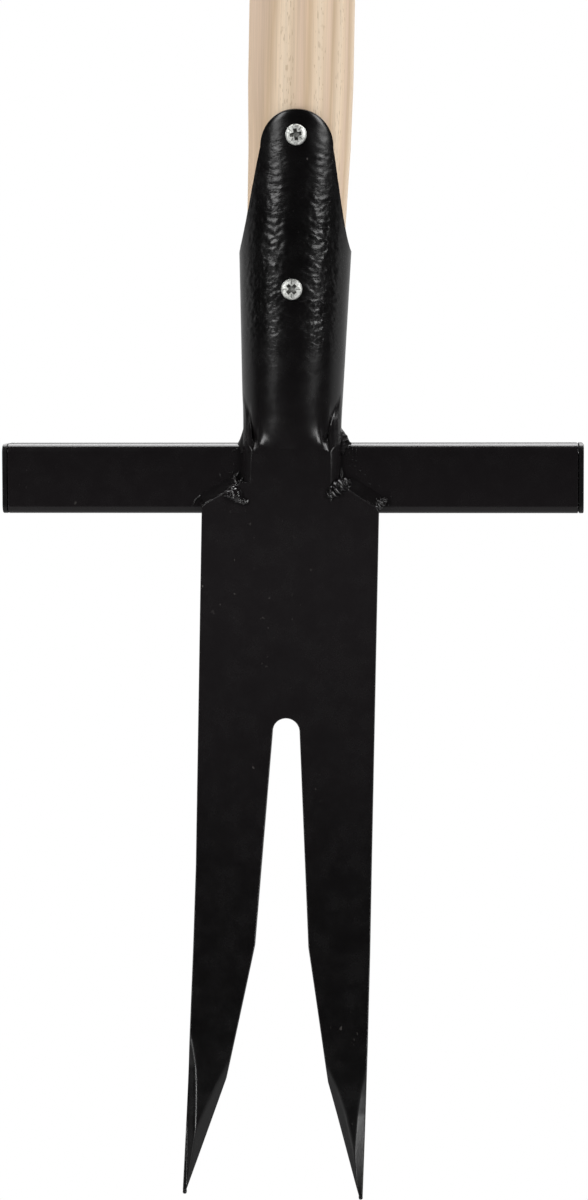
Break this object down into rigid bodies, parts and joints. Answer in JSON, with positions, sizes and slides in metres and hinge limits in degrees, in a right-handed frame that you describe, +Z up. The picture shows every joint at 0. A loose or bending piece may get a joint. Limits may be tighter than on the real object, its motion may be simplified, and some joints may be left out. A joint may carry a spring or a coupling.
{
  "type": "weeding fork",
  "caption": "Long handled weeding fork: forged blade with a tapering notch between bevelled prongs, wrapped socket, welded square foot tread and turned ash T handle.",
  "frame": {"origin": "level of the prongs' tips, on the axis of the shaft", "axes": "+Z up the shaft from the tips to the grip, +X to the right along the foot tread as seen from the front, +Y from the front of the blade to the back where the tread bar is"},
  "size_m": [0.2104, 0.0443, 1.1293],
  "materials": {
    "coated_steel": "black powder coat, satin",
    "coated_weld": "black powder coat over a rippled weld bead",
    "cap_plastic": "moulded black plastic, matt",
    "ash": "sanded ash with straight open grain, unvarnished",
    "beech": "sanded hardwood wedge, end grain up",
    "zinc": "bright zinc plate"
  },
  "bodies": {
    "root": {"fork_head": "coated_steel", "tread_bar": "coated_steel", "end_cap_left": "cap_plastic", "end_cap_right": "cap_plastic", "weld_shoulder_left": "coated_weld", "weld_shoulder_right": "coated_weld", "weld_socket_left": "coated_weld", "weld_socket_right": "coated_weld", "handle_shaft": "ash", "t_grip": "ash", "tenon_wedge": "beech", "upper_screw": "zinc", "lower_screw": "zinc"}
  },
  "joints": []
}
